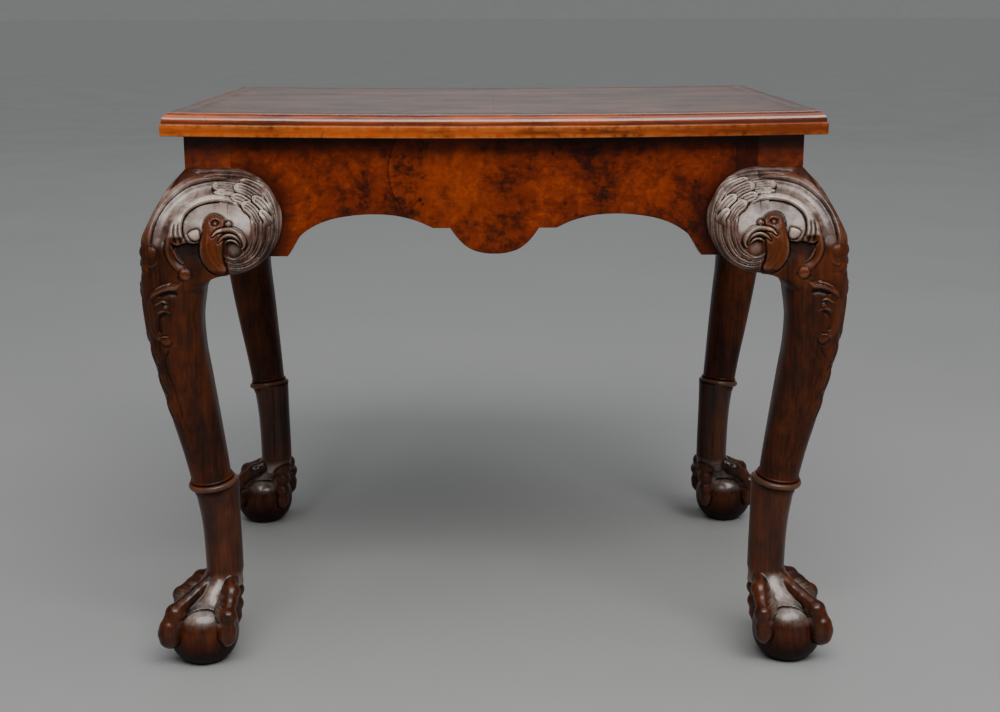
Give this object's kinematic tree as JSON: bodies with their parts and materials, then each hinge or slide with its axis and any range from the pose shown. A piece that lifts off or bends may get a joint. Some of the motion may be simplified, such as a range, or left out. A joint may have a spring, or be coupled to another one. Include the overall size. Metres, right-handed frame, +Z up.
{
  "type": "coffee table",
  "caption": "Low coffee table with a burr veneered top, shaped apron and carved cabriole legs on ball-and-claw feet, for drinks, books or a lamp.",
  "frame": {"origin": "on the floor under the middle of the table", "axes": "+X to the right along the length, +Y from the front to the back, +Z up"},
  "size_m": [0.6662, 0.5012, 0.535],
  "materials": {
    "burr_veneer": "polished burr walnut veneer, mottled red-brown",
    "moulding_wood": "polished walnut, orange-brown",
    "carved_wood": "waxed dark walnut, near black in the hollows",
    "carcass_wood": "plain unpolished softwood",
    "screw_steel": "dull steel"
  },
  "bodies": {
    "root": {"top_core": "carcass_wood", "top_veneer_left": "burr_veneer", "top_veneer_right": "burr_veneer", "edge_moulding_front": "moulding_wood", "edge_moulding_back": "moulding_wood", "edge_moulding_left": "moulding_wood", "edge_moulding_right": "moulding_wood", "rail_front": "carcass_wood", "rail_back": "carcass_wood", "rail_left": "carcass_wood", "rail_right": "carcass_wood", "rail_veneer_front": "burr_veneer", "rail_veneer_back": "burr_veneer", "rail_veneer_left": "burr_veneer", "rail_veneer_right": "burr_veneer", "leg_back_right": "carved_wood", "ear_long_back_right": "carved_wood", "ear_short_back_right": "carved_wood", "post_veneer_long_back_right": "burr_veneer", "post_veneer_short_back_right": "burr_veneer", "leg_back_left": "carved_wood", "ear_long_back_left": "carved_wood", "ear_short_back_left": "carved_wood", "post_veneer_long_back_left": "burr_veneer", "post_veneer_short_back_left": "burr_veneer", "leg_front_right": "carved_wood", "ear_long_front_right": "carved_wood", "ear_short_front_right": "carved_wood", "post_veneer_long_front_right": "burr_veneer", "post_veneer_short_front_right": "burr_veneer", "leg_front_left": "carved_wood", "ear_long_front_left": "carved_wood", "ear_short_front_left": "carved_wood", "post_veneer_long_front_left": "burr_veneer", "post_veneer_short_front_left": "burr_veneer", "glue_block_front_left": "carcass_wood", "glue_block_front_right": "carcass_wood", "glue_block_back_left": "carcass_wood", "glue_block_back_right": "carcass_wood", "glue_block_left": "carcass_wood", "glue_block_right": "carcass_wood", "top_screws": "screw_steel"}
  },
  "joints": []
}
